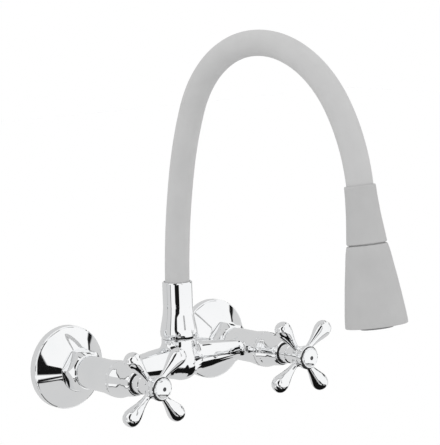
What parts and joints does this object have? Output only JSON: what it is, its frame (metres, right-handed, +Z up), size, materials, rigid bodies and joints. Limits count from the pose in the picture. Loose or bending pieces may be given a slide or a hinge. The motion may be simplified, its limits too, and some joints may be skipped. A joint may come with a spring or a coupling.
{
  "type": "wall-mounted kitchen mixer tap",
  "caption": "Wall-mounted bridge mixer tap with cross handles, domed escutcheons and a flexible swivel spout that ends in a conical spray head.",
  "frame": {"origin": "on the wall plane, midway between the axes of the two wall threads", "axes": "+X along the wall, to the right seen from the room, +Y into the wall, +Z up; the spout points along -Y"},
  "size_m": [0.2162, 0.314, 0.2981],
  "materials": {
    "chrome": "polished chrome plate over brass",
    "index_cap": "polished chrome plate with a small dark round mark",
    "brass": "machined brass",
    "steel": "plain stainless steel",
    "ceramic": "polished alumina ceramic",
    "seal_rubber": "moulded black rubber",
    "silicone_hose": "matt grey silicone",
    "soft_head": "matt grey soft-touch plastic",
    "water_hose": "plain pressure hose",
    "nylon": "moulded nylon",
    "aerator": "moulded dark grey plastic"
  },
  "bodies": {
    "root": {"mixer_body": "chrome", "spout_sleeve": "chrome", "left_wall_connector": "brass", "left_escutcheon": "chrome", "left_union_nut": "chrome", "left_inlet_washer": "seal_rubber", "left_inlet_nipple": "brass", "left_headwork": "brass", "left_seat_seal": "seal_rubber", "left_fixed_disc": "ceramic", "left_bonnet": "chrome", "right_wall_connector": "brass", "right_escutcheon": "chrome", "right_union_nut": "chrome", "right_inlet_washer": "seal_rubber", "right_inlet_nipple": "brass", "right_headwork": "brass", "right_seat_seal": "seal_rubber", "right_fixed_disc": "ceramic", "right_bonnet": "chrome"},
    "left_valve": {"left_handle": "chrome", "left_handle_screw": "steel", "left_index_cap": "index_cap", "left_spindle": "brass", "left_turning_disc": "ceramic", "left_spindle_clip": "steel", "left_spindle_o_ring": "seal_rubber"},
    "right_valve": {"right_handle": "chrome", "right_handle_screw": "steel", "right_index_cap": "index_cap", "right_spindle": "brass", "right_turning_disc": "ceramic", "right_spindle_clip": "steel", "right_spindle_o_ring": "seal_rubber"},
    "spout": {"spout_tail": "brass", "spout_o_rings": "seal_rubber", "hose_rise": "silicone_hose", "hose_crown": "silicone_hose", "gooseneck_liner": "steel", "water_hose": "water_hose"},
    "spout_tip": {"hose_drop": "silicone_hose", "head_collar": "soft_head", "head_core": "nylon", "head_o_ring": "seal_rubber"},
    "spray": {"head_shell": "soft_head", "aerator_seal": "seal_rubber", "aerator_housing": "aerator", "aerator_insert": "aerator"}
  },
  "joints": [
    {"name": "left_handle_turn", "type": "hinge", "parent": "root", "child": "left_valve", "pos_m": [-0.075, -0.1, 0.006], "axis": [0, -1, 0], "range_deg": [0, 90]},
    {"name": "right_handle_turn", "type": "hinge", "parent": "root", "child": "right_valve", "pos_m": [0.075, -0.1, 0.006], "axis": [0, 1, 0], "range_deg": [0, 90]},
    {"name": "spout_swivel", "type": "hinge", "parent": "root", "child": "spout", "pos_m": [0, -0.05305, 0.03], "axis": [0, 0, 1], "range_deg": [-90, 90]},
    {"name": "spout_bend", "type": "hinge", "parent": "spout", "child": "spout_tip", "pos_m": [0, -0.16201, 0.26121], "axis": [-1, 0, 0], "range_deg": [-15, 25], "deforming": ["hose_crown", "gooseneck_liner", "water_hose"]},
    {"name": "spray_select", "type": "hinge", "parent": "spout_tip", "child": "spray", "pos_m": [0, -0.26979, 0.12047], "axis": [0, -0.1392, -0.9903], "range_deg": [0, 90]}
  ]
}
